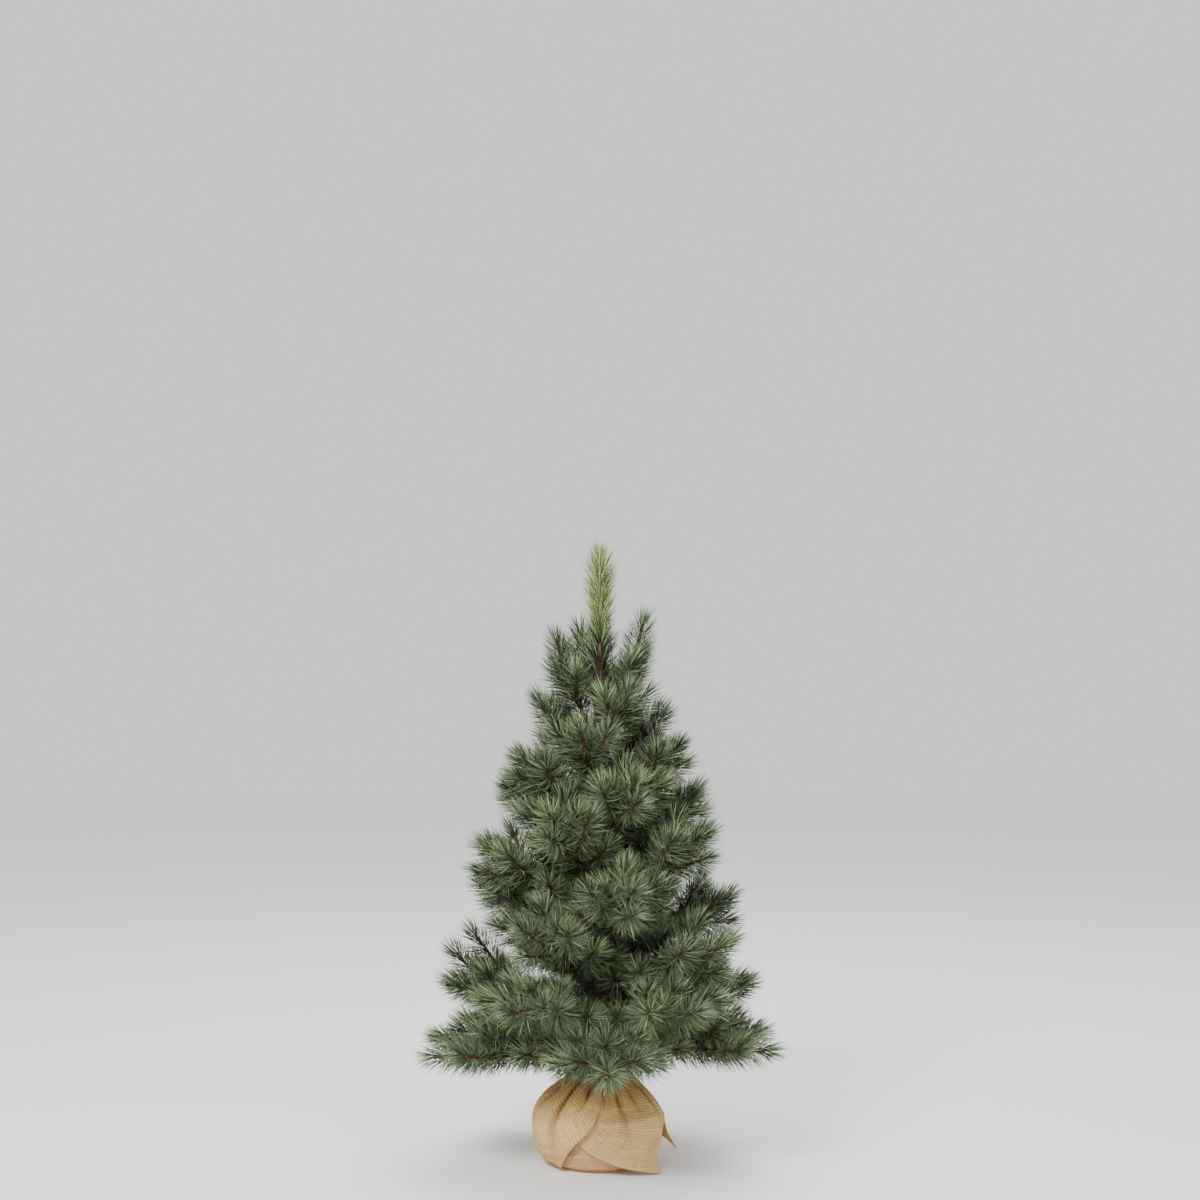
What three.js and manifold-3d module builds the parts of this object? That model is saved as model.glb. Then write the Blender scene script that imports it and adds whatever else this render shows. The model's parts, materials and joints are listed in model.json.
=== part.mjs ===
// Artificial tabletop tree: a taped steel trunk in a weighted pot wrapped in burlap, with
// thirty-six wire branches that bend at the trunk. Millimetres, +Z up, origin on the table
// under the trunk.
import * as THREE from "three";
import { mergeVertices } from "three/addons/utils/BufferGeometryUtils.js";
import Module from "manifold-3d";

const wasm = await Module();
wasm.setup();

// Driving dimensions
const TREE_HEIGHT = 600;
const GAP = 0.4; // clearance between pieces that touch on the real object

// Outline of the foliage: the reach of the needle tips falls along two straight stretches.
const OUTLINE_LOW = { z: 100, reach: 192, slope: 0.26 };
const OUTLINE_HIGH = { z: 350, reach: 127, slope: 0.43 };

// The lowest branches stand in rings round the trunk: the height of their roots, how many there
// are and the turn of the first one (degrees).
const RINGS = [
  { height: 110, branches: 5, turn: -88 },
  { height: 131, branches: 5, turn: -52 },
];
const RING_STAGGER = 4; // most that a root stands above or below its ring

// Above them the branches leave the trunk one over another, each turned on by `step` degrees from
// the last. With `crowding` over 1 the lower ones stand closer together than the upper ones.
const SPIRAL = { branches: 26, from: 158, to: 438, turn: -36, step: 136, crowding: 1.08 };
const TURN_WOBBLE = 2;

// Rise of the branches above level (degrees) against the height of their roots
const RISES = [
  [106, -1],
  [114, 3],
  [132, 17],
  [160, 27],
  [206, 33],
  [256, 39],
  [304, 44],
  [354, 50],
  [402, 57],
  [438, 64],
];
const RISE_WOBBLE = 2;
const TUFT = 22; // needles past the end of a wire
const TUFT_CORE = 12; // how far the stiff middle of that tuft reaches

// Pairs of side sprigs on a branch: where they leave its wire, how far they turn aside and lift
// (degrees), and their length; places and lengths are fractions of the branch wire.
const SIDE_PAIRS = [
  { at: 0.45, side: 33, lift: 4, length: 0.52 },
  { at: 0.25, side: 46, lift: 7, length: 0.4 },
];
const TWO_PAIRS_BELOW = 340; // branches with higher roots carry the first pair only

// The upper sprig, which stands off the top of a branch whose root is between two heights. It
// lifts off the wire by `lift` degrees, or by less where that keeps it from leaning on the trunk.
const UPPER_SPRIG = { from: 150, to: 430, at: 0.3, lift: 36, steepest: 74, length: 0.38 };

// Wires and the stiff middles of the needle brushes
const WIRE_R = 1.7;
const CORE_R = 4.2;
const CORE_SIDES = 5;

// Trunk
const ROD_R = 3;
const ROD_BOTTOM = 12;
const ROD_TOP = 500;
const TAPE_R = 6;
const TAPE_TOP = 498;
const HINGE_R = TAPE_R + WIRE_R + 1; // distance of a branch's bending point from the axis

// Base
const POT_BOTTOM = 3.5;
const POT_HEIGHT = 48;
const POT_R_LOW = 40;
const POT_R_HIGH = 50;
const POT_WALL = 1.6;
const CEMENT_TOP = POT_BOTTOM + 42;
const CLOTH = 1.8; // thickness of the burlap
const TIE_R = 1.7;

// Outer face of the gathered bag from the table to the top of its neck, as [radius, height]
const BAG_FACE = [
  [46, 0],
  [54, 6],
  [59, 18],
  [60.5, 34],
  [58, 48],
  [50, 61],
  [37, 73],
  [22, 83],
  [13, 90],
  [12.5, 97],
];
const NECK_R = 13;
const TIE_HEIGHT = 93.8;

// Burlap corners folded down over the bag: turns (degrees) of their two edges at the neck and at
// the bottom, and how far down the bag's face they hang (fractions of its length).
const FLAPS = [
  { name: "burlap_fold_left", neck: [-205, -92], foot: [-222, -140], from: 0.2, to: 0.95 },
  { name: "burlap_flap_right", neck: [-88, -4], foot: [-134, -8], from: 0.2, to: 0.95 },
  { name: "burlap_flap_rear", neck: [2, 148], foot: [0, 132], from: 0.2, to: 0.9 },
];
const FLAP_GAP = 1.8;
const FLAP_STEPS_ROUND = 8;
const FLAP_STEPS_DOWN = 6;

const degrees = THREE.MathUtils.degToRad;

const STEEL = { color: 0x6d6a66, roughness: 0.45, metalness: 0.8 };
const TAPE = { color: 0x4b3021, roughness: 0.7, metalness: 0 };
const CEMENT = { color: 0x9b978f, roughness: 0.95, metalness: 0 };
const POT_PLASTIC = { color: 0x2b2a29, roughness: 0.6, metalness: 0 };
const BURLAP = { color: 0xbea47c, roughness: 0.95, metalness: 0 };
const JUTE = { color: 0x9a7a4c, roughness: 0.95, metalness: 0 };
const NEEDLES = { color: 0x4b5240, roughness: 0.6, metalness: 0 };
const LEADER_NEEDLES = { color: 0x7f8a52, roughness: 0.6, metalness: 0 };

const tree = new THREE.Group();
tree.name = "tabletop_tree";

function addPiece(name, geometry, look) {
  const mesh = new THREE.Mesh(geometry, new THREE.MeshStandardMaterial(look));
  mesh.name = name;
  tree.add(mesh);
  return mesh;
}

// A solid of revolution about +Z from [radius, height] points that start and end on the axis, or
// that close on themselves.
function revolve(points, sides) {
  const profile = points.map(([r, z]) => new THREE.Vector2(r, z));
  return new THREE.LatheGeometry(profile, sides).rotateX(Math.PI / 2);
}

function toSolid(geometry) {
  const bare = geometry.clone();
  bare.deleteAttribute("normal");
  bare.deleteAttribute("uv");
  const merged = mergeVertices(bare, 1e-4);
  return new wasm.Manifold(
    new wasm.Mesh({
      numProp: 3,
      vertProperties: merged.attributes.position.array,
      triVerts: new Uint32Array(merged.index.array),
    }),
  );
}

function toGeometry(solid) {
  const mesh = solid.getMesh();
  const geometry = new THREE.BufferGeometry();
  geometry.setAttribute("position", new THREE.BufferAttribute(mesh.vertProperties, 3));
  geometry.setIndex(new THREE.BufferAttribute(mesh.triVerts, 1));
  geometry.computeVertexNormals();
  return geometry;
}

// A repeatable number from -1 to 1 that differs from branch to branch.
function wobble(index, salt) {
  return Math.sin(index * 12.9898 + salt * 78.233);
}

// Reach of the needle tips for a branch that leaves the trunk at rootZ and rises at an angle.
function outlineReach(rootZ, rise) {
  const climb = Math.tan(rise);
  for (const part of [OUTLINE_HIGH, OUTLINE_LOW]) {
    const reach = (part.reach - part.slope * (rootZ - part.z)) / (1 + part.slope * climb);
    if (rootZ + reach * climb > part.z) return reach;
  }
  return OUTLINE_LOW.reach;
}

// Value at x on the line through [x, value] points.
function onLine(points, x) {
  const next = Math.max(1, points.findIndex(([end]) => end >= x));
  const [[x0, value0], [x1, value1]] = [points[next - 1], points[next]];
  return value0 + ((value1 - value0) * (x - x0)) / (x1 - x0);
}

// Where a branch leaves the trunk, the way it points, its length and the sprigs it carries.
function layOutBranch(index, rootZ, turnDegrees) {
  const riseDegrees = onLine(RISES, rootZ) + RISE_WOBBLE * wobble(index, 2);
  const rise = degrees(riseDegrees);
  const turn = degrees(turnDegrees + TURN_WOBBLE * wobble(index, 1));
  const wireReach = outlineReach(rootZ, rise) - TUFT * Math.cos(rise);
  const wire = (wireReach - HINGE_R) / Math.cos(rise);
  const pairs = rootZ < TWO_PAIRS_BELOW ? 2 : 1;
  const hasUpper = rootZ > UPPER_SPRIG.from && rootZ < UPPER_SPRIG.to;
  const lift = hasUpper ? Math.min(UPPER_SPRIG.lift, UPPER_SPRIG.steepest - riseDegrees) : 0;
  return { index, rootZ, rise, turn, wire, pairs, lift };
}

function layOutBranches() {
  const branches = [];
  for (const ring of RINGS) {
    for (let place = 0; place < ring.branches; place += 1) {
      const index = branches.length;
      const rootZ = ring.height + RING_STAGGER * wobble(index, 3);
      branches.push(layOutBranch(index, rootZ, ring.turn + (360 / ring.branches) * place));
    }
  }
  for (let place = 0; place < SPIRAL.branches; place += 1) {
    const climbed = (place / (SPIRAL.branches - 1)) ** SPIRAL.crowding;
    const rootZ = SPIRAL.from + (SPIRAL.to - SPIRAL.from) * climbed;
    branches.push(layOutBranch(branches.length, rootZ, SPIRAL.turn + SPIRAL.step * place));
  }
  return branches;
}

// The straight stretches of one branch: its own wire and its side sprigs, in the tree's frame.
function branchStretches({ rootZ, rise, turn, wire, pairs, lift }) {
  const outward = new THREE.Vector3(Math.cos(turn), Math.sin(turn), 0);
  const sideways = new THREE.Vector3(-Math.sin(turn), Math.cos(turn), 0);
  const up = new THREE.Vector3(0, 0, 1);
  const along = (angle) =>
    outward.clone().multiplyScalar(Math.cos(angle)).addScaledVector(up, Math.sin(angle));
  const root = outward.clone().multiplyScalar(HINGE_R).addScaledVector(up, rootZ);
  const stretches = [{ start: root, direction: along(rise), length: wire, bare: 0.45 }];
  for (const pair of SIDE_PAIRS.slice(0, pairs)) {
    for (const hand of [-1, 1]) {
      const side = degrees(hand * pair.side);
      const direction = along(rise + degrees(pair.lift)).multiplyScalar(Math.cos(side));
      direction.addScaledVector(sideways, Math.sin(side));
      const start = root.clone().addScaledVector(along(rise), pair.at * wire);
      stretches.push({ start, direction, length: pair.length * wire, bare: 0 });
    }
  }
  if (lift > 0) {
    const start = root.clone().addScaledVector(along(rise), UPPER_SPRIG.at * wire);
    const direction = along(rise + degrees(lift));
    stretches.push({ start, direction, length: UPPER_SPRIG.length * wire, bare: 0 });
  }
  return stretches;
}

// One stretch of wire that swells into the stiff middle of its needle brush, after a bare part.
function stretchSolid({ start, direction, length, bare }) {
  const end = length + TUFT_CORE;
  const points = [
    [0, -WIRE_R],
    [WIRE_R, 0],
    [WIRE_R, length * bare],
    [CORE_R, length * (bare + 0.25)],
    [CORE_R, end - 16],
    [0, end],
  ].filter((point, place) => bare > 0 || place !== 2);
  const turnTo = new THREE.Quaternion().setFromUnitVectors(new THREE.Vector3(0, 0, 1), direction);
  const placed = revolve(points, CORE_SIDES).applyQuaternion(turnTo).translate(...start.toArray());
  return toSolid(placed);
}

function makeBranch(branch) {
  const joined = branchStretches(branch).map(stretchSolid).reduce((whole, solid) => whole.add(solid));
  const name = `branch_${String(branch.index + 1).padStart(2, "0")}`;
  addPiece(name, toGeometry(joined), NEEDLES);
}

function makeBranches() {
  layOutBranches().forEach(makeBranch);
}

function makeTrunk() {
  const rod = [
    [0, ROD_BOTTOM],
    [ROD_R, ROD_BOTTOM],
    [ROD_R, ROD_TOP],
    [0, ROD_TOP],
  ];
  addPiece("trunk_rod", revolve(rod, 16), STEEL);
  const bore = ROD_R + GAP;
  const tapeBottom = CEMENT_TOP + GAP;
  const tape = [
    [bore, tapeBottom],
    [TAPE_R, tapeBottom],
    [TAPE_R, TAPE_TOP - 6],
    [bore + 0.8, TAPE_TOP],
    [bore, TAPE_TOP],
    [bore, tapeBottom],
  ];
  addPiece("trunk_tape", revolve(tape, 16), TAPE);
}

function makeLeader() {
  const foot = ROD_TOP + GAP;
  const points = [
    [0, foot],
    [ROD_R, foot],
    [ROD_R, foot + 8],
    [WIRE_R + 0.5, foot + 12],
    [CORE_R, foot + 24],
    [CORE_R, TREE_HEIGHT - 24],
    [0.8, TREE_HEIGHT],
    [0, TREE_HEIGHT],
  ];
  addPiece("leader_sprig", revolve(points, 8), LEADER_NEEDLES);
}

function makePot() {
  const rim = POT_BOTTOM + POT_HEIGHT;
  const inner = POT_BOTTOM + POT_WALL;
  const pot = [
    [0, POT_BOTTOM],
    [POT_R_LOW, POT_BOTTOM],
    [POT_R_HIGH, rim],
    [POT_R_HIGH - POT_WALL, rim],
    [POT_R_LOW - POT_WALL, inner],
    [0, inner],
  ];
  addPiece("pot", revolve(pot, 24), POT_PLASTIC);

  const wallSlope = (POT_R_HIGH - POT_R_LOW) / POT_HEIGHT;
  const fillBottom = inner + GAP;
  const fillRadius = (z) => POT_R_LOW + wallSlope * (z - POT_BOTTOM) - POT_WALL - 2 * GAP;
  const bore = ROD_R + GAP;
  const cement = [
    [0, fillBottom],
    [fillRadius(fillBottom), fillBottom],
    [fillRadius(CEMENT_TOP), CEMENT_TOP],
    [bore, CEMENT_TOP],
    [bore, ROD_BOTTOM - GAP],
    [0, ROD_BOTTOM - GAP],
  ];
  addPiece("cement_weight", revolve(cement, 24), CEMENT);
}

// The bag's face moved along its own outward normal.
function offsetFace(distance) {
  return BAG_FACE.map((point, index) => {
    const before = BAG_FACE[Math.max(index - 1, 0)];
    const after = BAG_FACE[Math.min(index + 1, BAG_FACE.length - 1)];
    const run = new THREE.Vector2(after[0] - before[0], after[1] - before[1]).normalize();
    return new THREE.Vector2(point[0] + run.y * distance, point[1] - run.x * distance);
  });
}

function makeBag() {
  const inner = offsetFace(-CLOTH).filter(({ y }) => y > CLOTH);
  const innerFace = inner.map(({ x, y }) => [x, y]).reverse();
  innerFace[0][1] = BAG_FACE.at(-1)[1];
  const floorR = BAG_FACE[0][0] - CLOTH;
  const profile = [[0, 0], ...BAG_FACE, ...innerFace, [floorR, CLOTH], [0, CLOTH]];
  addPiece("burlap_bag", revolve(profile, 24), BURLAP);
}

function makeTie() {
  const ring = new THREE.TorusGeometry(NECK_R + GAP + TIE_R, TIE_R, 6, 24);
  addPiece("jute_tie", ring.translate(0, 0, TIE_HEIGHT), JUTE);
}

// A curved sheet that follows the bag's face at a distance, closed by its own thickness.
function makeFlap({ name, neck, foot, from, to }) {
  const down = (distance) => new THREE.CatmullRomCurve3(
    offsetFace(distance).reverse().map(({ x, y }) => new THREE.Vector3(x, 0, y)),
    false,
    "centripetal",
  );
  const faces = [down(FLAP_GAP), down(FLAP_GAP + CLOTH)];
  const positions = [];
  for (const face of faces) {
    for (let row = 0; row <= FLAP_STEPS_DOWN; row += 1) {
      const fall = row / FLAP_STEPS_DOWN;
      const point = face.getPointAt(from + (to - from) * fall);
      for (let column = 0; column <= FLAP_STEPS_ROUND; column += 1) {
        const start = THREE.MathUtils.lerp(neck[0], foot[0], fall);
        const end = THREE.MathUtils.lerp(neck[1], foot[1], fall);
        const turn = degrees(THREE.MathUtils.lerp(start, end, column / FLAP_STEPS_ROUND));
        positions.push(point.x * Math.cos(turn), point.x * Math.sin(turn), point.z);
      }
    }
  }
  const columns = FLAP_STEPS_ROUND + 1;
  const outerStart = columns * (FLAP_STEPS_DOWN + 1);
  const index = [];
  const quad = (a, b, c, d) => index.push(a, b, c, a, c, d);
  const at = (layer, row, column) => layer * outerStart + row * columns + column;
  for (let row = 0; row < FLAP_STEPS_DOWN; row += 1) {
    for (let column = 0; column < FLAP_STEPS_ROUND; column += 1) {
      quad(at(0, row, column), at(0, row, column + 1), at(0, row + 1, column + 1), at(0, row + 1, column));
      quad(at(1, row, column), at(1, row + 1, column), at(1, row + 1, column + 1), at(1, row, column + 1));
    }
    const last = FLAP_STEPS_ROUND;
    quad(at(0, row, 0), at(0, row + 1, 0), at(1, row + 1, 0), at(1, row, 0));
    quad(at(0, row + 1, last), at(0, row, last), at(1, row, last), at(1, row + 1, last));
  }
  for (let column = 0; column < FLAP_STEPS_ROUND; column += 1) {
    const last = FLAP_STEPS_DOWN;
    quad(at(0, 0, column + 1), at(0, 0, column), at(1, 0, column), at(1, 0, column + 1));
    quad(at(0, last, column), at(0, last, column + 1), at(1, last, column + 1), at(1, last, column));
  }
  const sheet = new THREE.BufferGeometry();
  sheet.setAttribute("position", new THREE.Float32BufferAttribute(positions, 3));
  sheet.setIndex(index);
  sheet.computeVertexNormals();
  addPiece(name, sheet, BURLAP);
}

makePot();
makeTrunk();
makeBag();
FLAPS.forEach(makeFlap);
makeTie();
makeLeader();
makeBranches();

export default tree;
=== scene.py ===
"""Artificial tabletop tree with a burlap-wrapped base: the looks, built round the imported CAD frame."""

import json
import math
from typing import NamedTuple

import bpy
import numpy as np
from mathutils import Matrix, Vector


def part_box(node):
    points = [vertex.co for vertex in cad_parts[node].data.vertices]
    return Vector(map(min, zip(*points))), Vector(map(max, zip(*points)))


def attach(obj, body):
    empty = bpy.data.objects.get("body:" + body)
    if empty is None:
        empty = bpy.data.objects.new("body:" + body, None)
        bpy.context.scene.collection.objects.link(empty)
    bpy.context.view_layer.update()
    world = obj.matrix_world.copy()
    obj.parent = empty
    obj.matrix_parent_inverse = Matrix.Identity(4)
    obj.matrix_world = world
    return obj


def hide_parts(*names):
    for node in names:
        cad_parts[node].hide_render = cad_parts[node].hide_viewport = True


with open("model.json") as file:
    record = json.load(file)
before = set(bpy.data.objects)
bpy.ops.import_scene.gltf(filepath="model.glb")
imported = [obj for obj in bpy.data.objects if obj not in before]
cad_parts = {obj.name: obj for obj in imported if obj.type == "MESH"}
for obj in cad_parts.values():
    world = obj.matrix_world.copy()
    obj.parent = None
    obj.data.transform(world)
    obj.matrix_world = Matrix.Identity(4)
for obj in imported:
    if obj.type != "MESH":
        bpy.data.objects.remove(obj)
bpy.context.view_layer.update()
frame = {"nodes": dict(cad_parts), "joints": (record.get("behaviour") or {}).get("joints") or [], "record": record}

ROOT = "base_and_trunk"
MM = 0.001

# Camera: level, straight from the front, at this height and distance from the trunk.
CAMERA_HEIGHT = 0.5425
CAMERA_DISTANCE = 2.1
VIEW_WIDTH = 1.161  # width of the view at the trunk
SENSOR = 36.0

# Branch build, as in the CAD model, in metres. A sprig leaves its branch's wire at the share "at" of
# that wire and is as long as the share "length" of it. "side" and "lift" are its turns away from the
# wire's direction, sideways and up, in degrees.
TUFT_CORE = 0.012  # the CAD branch ends this far past its wire
SIDE_PAIRS = (
    {"at": 0.45, "side": 33, "lift": 4, "length": 0.52},
    {"at": 0.25, "side": 46, "lift": 7, "length": 0.40},
)
TWO_PAIRS_BELOW = 0.340  # a branch with its root under this height carries both pairs
UPPER_SPRIG_AT = 0.3  # where the upper sprig leaves the wire
UPPER_SPRIG_ROOTS = (0.150, 0.430)  # a branch with its root between these heights has one

# Short filler sprigs, which only the visual model has, on branches with roots under
# TWO_PAIRS_BELOW: pairs on each side of the wire, and single ones over and under it. Only
# EXTRA_FILLERS go on named branches instead.
FILLER_PAIRS = (
    {"at": 0.66, "side": 38, "lift": 15, "length": 0.30},
    {"at": 0.16, "side": 62, "lift": 24, "length": 0.34},
)
FILLERS = (
    {"at": 0.52, "lift": 30, "length": 0.42},
    {"at": 0.10, "lift": 46, "length": 0.34},
    {"at": 0.50, "lift": -20, "length": 0.44},
)
LOW_FILLER_PAIRS = ({"at": 0.50, "side": 32, "lift": 34, "length": 0.34},)
LOW_FILLERS = (  # on the lowest branches, which have no upper sprig
    {"at": 0.52, "lift": 28, "length": 0.34},
    {"at": 0.10, "lift": 38, "length": 0.26},
    {"at": 0.32, "lift": 30, "length": 0.36},
)
EXTRA_FILLERS = {  # on a low branch with room over it, and on the top three
    "branch_09": (
        {"at": 0.45, "lift": 36, "length": 0.60},
        {"at": 0.70, "lift": 30, "length": 0.38},
    ),
    "branch_34": ({"at": 0.5, "lift": 9, "length": 0.80},),
    "branch_35": ({"at": 0.5, "lift": 10, "length": 0.90},),
    "branch_36": ({"at": 0.5, "lift": 6, "length": 0.66},),
}
STEEPEST = 80  # degrees
SPRIG_RISE = 0.04  # how far a side sprig's end lifts, as a share of its length
BARE_ROOT = 0.1  # share of a sprig's wire that has no needles
BARE_MAIN_ROOT = 0.04  # the same for a branch's own wire
BRANCH_TINT_SPREAD = 0.07

# Needles
NEEDLE_LENGTH = 0.0265
LENGTH_SPREAD = (0.86, 1.08)
SHORT_AT_ROOT = 0.74  # length of the first needles on a wire, as a share of the full length
ROOT_ZONE = 0.02  # length of wire over which they reach the full length
TIP_SHORTENING = 0.12
NEEDLE_WIDTH = 0.00095
WIDTH_SPREAD = (0.8, 1.2)
NEEDLE_THICKNESS = 0.00045
WIDEST_AT = 0.4  # share of a needle's length
NEEDLE_CURVE = 0.1  # how much a needle turns towards the wire's end
NEEDLE_CROOK = 0.04  # how much it turns at random
NEEDLE_ROLL = 0.5
NEEDLES_PER_METRE = 5000
GOLDEN_TURN = 2.39996  # radians round the wire from one needle to the next
TURN_SPREAD = 0.35
LEAN = 56  # degrees between a needle and its wire
LEAN_AT_TIP = 12
LEAN_SPREAD = 6
TIP_ZONE = 0.020  # length of wire over which the needles close up into the tuft
TIP_CURVE = 1.3  # above 1, they close up later

# A needle's tint is a place on its material's colour ramp, 0 to 1.
MEAN_TINT = 0.38
TINT_SPREAD = 0.16
TIP_TINT = 0.2  # how much paler the tuft is
PAINTED_HIGHLIGHT_SHARE = 0.16  # share of the needles that are much paler than the rest, as painted highlights
PAINTED_HIGHLIGHT_LIFT = 0.45
TINTS = 16
TINT_SHARE = 1 / TINTS

# Leader, and the collar of needles round the trunk under it
LEADER_NEEDLE = 0.030
LEADER_LEAN = 38
LEADER_TINT = 0.1
LEADER_GAP = 0.008  # the leader's wire ends this far under the core of its tuft
COLLAR = 0.050  # length of trunk that the collar covers
COLLAR_WIRE = 1.2  # its needles go on up to this multiple of that length
COLLAR_NEEDLE = 0.034
COLLAR_LEAN = 46
COLLAR_TINT = 0.05
CROWN_DENSITY = 1.5  # of both, against a branch's

# Stems
STEM_RADIUS = 0.0016
STEM_SIDES = 6
STEM_TWIST = 0.0065  # length of one turn of the twisted wire
STEM_STEP = 0.0018
STEM_LOBES = 0.24
STEM_END = 0.45  # size at the very end, as a share of the full radius
STEM_TAPER = 0.008

rng = np.random.default_rng(7)


# ---------------------------------------------------------------- mesh helpers


def mesh_object(name, points, faces, uv=None, uv_name="OFBake", smooth=False):
    """A mesh object from arrays: points (n, 3), faces (m, 3 or 4) and one uv for each face corner."""
    mesh = bpy.data.meshes.new(name)
    corners = faces.shape[1]
    mesh.vertices.add(len(points))
    mesh.vertices.foreach_set("co", np.ascontiguousarray(points, np.float32).ravel())
    mesh.loops.add(faces.size)
    mesh.loops.foreach_set("vertex_index", np.ascontiguousarray(faces, np.int32).ravel())
    mesh.polygons.add(len(faces))
    mesh.polygons.foreach_set("loop_start", np.arange(0, faces.size, corners, dtype=np.int32))
    mesh.polygons.foreach_set("use_smooth", np.full(len(faces), smooth))
    if uv is not None:
        layer = mesh.uv_layers.new(name=uv_name)
        layer.uv.foreach_set("vector", np.ascontiguousarray(uv, np.float32).ravel())
    mesh.update()
    mesh.validate()
    piece = bpy.data.objects.new(name, mesh)
    bpy.context.scene.collection.objects.link(piece)
    return piece


def unit(vectors):
    return vectors / np.maximum(np.linalg.norm(vectors, axis=-1, keepdims=True), 1e-12)


def sheet_faces(rows, columns):
    """Four-sided faces of an open grid of points."""
    lower = np.arange(rows - 1)[:, None] * columns + np.arange(columns - 1)[None]
    return np.stack([lower, lower + 1, lower + columns + 1, lower + columns], axis=-1).reshape(-1, 4)


def tube_faces(bands, columns):
    """Four-sided faces of a grid that closes on itself sideways, in bands + 1 rows of points."""
    first = np.arange(bands)[:, None] * columns
    lower = first + np.arange(columns)[None]
    right = first + (np.arange(columns)[None] + 1) % columns
    return np.stack([lower, right, right + columns, lower + columns], axis=-1).reshape(-1, 4)


# ---------------------------------------------------------------- materials


def new_material(name, roughness, specular=0.5):
    material = bpy.data.materials.new(name)
    material.use_nodes = True
    shader = material.node_tree.nodes["Principled BSDF"]
    shader.inputs["Roughness"].default_value = roughness
    shader.inputs["Specular IOR Level"].default_value = specular
    return material, material.node_tree, shader


def srgb(red, green, blue):
    """Linear colour from 0-255 display values."""
    linear = []
    for value in (red, green, blue):
        share = value / 255
        linear.append(share / 12.92 if share <= 0.04045 else ((share + 0.055) / 1.055) ** 2.4)
    return (*linear, 1.0)


def grey(level):
    return (level, level, level, 1.0)


def ramp(tree, factor, stops):
    node = tree.nodes.new("ShaderNodeValToRGB")
    elements = node.color_ramp.elements
    while len(elements) < len(stops):
        elements.new(0.5)
    for element, (place, colour) in zip(elements, stops):
        element.position = place
        element.color = colour
    tree.links.new(factor, node.inputs["Fac"])
    return node.outputs["Color"]


def math_node(tree, operation, first, second=0.0):
    node = tree.nodes.new("ShaderNodeMath")
    node.operation = operation
    for socket, value in zip(node.inputs, (first, second)):
        if isinstance(value, (int, float)):
            socket.default_value = value
        else:
            tree.links.new(value, socket)
    return node.outputs[0]


def times(tree, first, second):
    return math_node(tree, "MULTIPLY", first, second)


def plus(tree, first, second):
    return math_node(tree, "ADD", first, second)


def mix_colour(tree, blend, factor, first, second):
    node = tree.nodes.new("ShaderNodeMix")
    node.data_type = "RGBA"
    node.blend_type = blend
    for number, value in {0: factor, 6: first, 7: second}.items():  # its colour sockets
        socket = node.inputs[number]
        if isinstance(value, (int, float, tuple)):
            socket.default_value = value
        else:
            tree.links.new(value, socket)
    return node.outputs[2]


def noise(tree, coordinate, scale, detail=2.0):
    node = tree.nodes.new("ShaderNodeTexNoise")
    node.inputs["Scale"].default_value = scale
    node.inputs["Detail"].default_value = detail
    tree.links.new(coordinate, node.inputs["Vector"])
    return node.outputs["Fac"]


def bump(tree, shader, height, strength, distance):
    node = tree.nodes.new("ShaderNodeBump")
    node.inputs["Strength"].default_value = strength
    node.inputs["Distance"].default_value = distance
    tree.links.new(height, node.inputs["Height"])
    tree.links.new(node.outputs["Normal"], shader.inputs["Normal"])


def object_coordinate(tree):
    return tree.nodes.new("ShaderNodeTexCoord").outputs["Object"]


FROST_AND_HIGHLIGHT_MIX = 0.34  # how much of the pale colour the pale faces take; their paleness is partly the needles' own frosting and partly painted highlight
FROST_AND_HIGHLIGHT_COLOUR = srgb(176, 196, 152)
ROOT_COLOUR = srgb(96, 58, 36)  # of the short brown foot of a needle


def needle_material(name, tints, tip_colour):
    """Needle colour from its uv: u picks the tint, and v runs from the wire to the tip twice, once
    for the plain faces and once, in its upper half, for the paler ones. Their paleness is partly
    the needles' own frosting and partly painted highlight. Painted shade darkens each needle
    towards its base."""
    material, tree, shader = new_material(name, 0.36, 0.6)
    uv_node = tree.nodes.new("ShaderNodeUVMap")
    uv_node.uv_map = "OFBake"
    split = tree.nodes.new("ShaderNodeSeparateXYZ")
    tree.links.new(uv_node.outputs["UV"], split.inputs[0])
    tint_place, along_twice = split.outputs["X"], split.outputs["Y"]
    along = math_node(tree, "FRACT", times(tree, along_twice, 2.0))
    # The pale faces: partly the needles' own frosting, partly painted highlight.
    frost_and_highlight_faces = math_node(tree, "GREATER_THAN", along_twice, 0.5)
    tint = ramp(tree, tint_place, tints)
    frost_and_highlight_tint = mix_colour(tree, "MIX", FROST_AND_HIGHLIGHT_MIX, tint, FROST_AND_HIGHLIGHT_COLOUR)
    faced = mix_colour(tree, "MIX", frost_and_highlight_faces, tint, frost_and_highlight_tint)
    # Painted shade: each needle darker towards its base, deep inside the brush.
    shade = ramp(tree, along, [(0.0, grey(0.5)), (0.35, grey(0.86)), (1.0, grey(1))])
    shaded = mix_colour(tree, "MULTIPLY", 1.0, faced, shade)
    tip = ramp(tree, along, [(0.72, grey(0)), (1.0, grey(0.6))])
    tipped = mix_colour(tree, "MIX", tip, shaded, tip_colour)
    root = ramp(tree, along, [(0.05, grey(1)), (0.14, grey(0))])
    rooted = mix_colour(tree, "MIX", root, tipped, ROOT_COLOUR)
    tree.links.new(rooted, shader.inputs["Base Color"])
    return material


def stem_material():
    material, tree, shader = new_material("twisted_stem", 0.75, 0.3)
    place = object_coordinate(tree)
    tone = ramp(
        tree,
        noise(tree, place, 420.0, 3.0),
        [(0.3, srgb(40, 27, 20)), (0.5, srgb(72, 48, 34)), (0.7, srgb(108, 76, 54))],
    )
    tree.links.new(tone, shader.inputs["Base Color"])
    return material


TAPE_LAPS_PER_METRE = 110


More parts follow.
